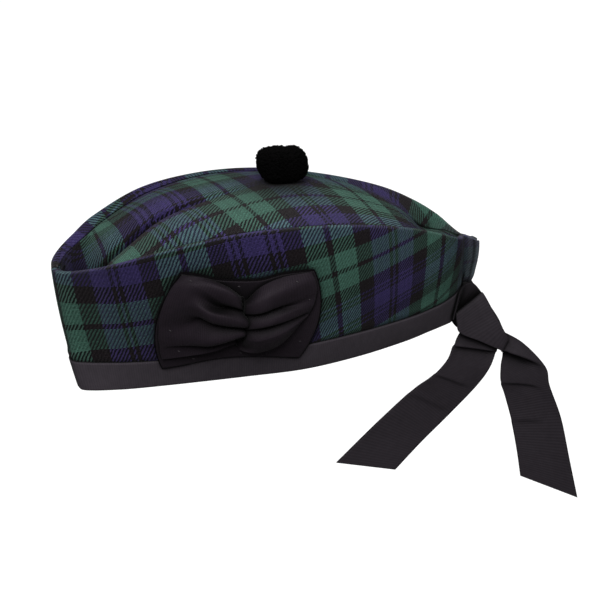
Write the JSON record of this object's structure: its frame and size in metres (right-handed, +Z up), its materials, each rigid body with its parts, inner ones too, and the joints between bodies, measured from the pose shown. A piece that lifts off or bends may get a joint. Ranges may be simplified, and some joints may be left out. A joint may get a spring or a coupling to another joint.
{
  "type": "glengarry cap",
  "caption": "Boat-shaped wool tartan cap with a black ribbon band, a gathered side bow, a tufted pompom on the crown and ribbon tails tied at the back.",
  "frame": {"origin": "middle of the head opening, at the level of the band's lower edge at the front", "axes": "+Z up, -X to the front of the cap, -Y to the wearer's left where the bow is"},
  "size_m": [0.337, 0.1275, 0.2838],
  "materials": {
    "tartan_wool": "twill wool in dark green, navy and black checks",
    "petersham": "ribbed black ribbon, dull",
    "bow_ribbon": "fine black ribbon, dull",
    "yarn": "cut black wool yarn"
  },
  "bodies": {
    "root": {"side_left": "tartan_wool", "side_right": "tartan_wool", "crown": "tartan_wool", "band": "petersham", "tie_near": "petersham", "tie_far": "petersham", "tail_left": "petersham", "tail_right": "petersham", "rosette_patch": "bow_ribbon", "rosette_bow": "bow_ribbon", "pompom": "yarn"}
  },
  "joints": []
}
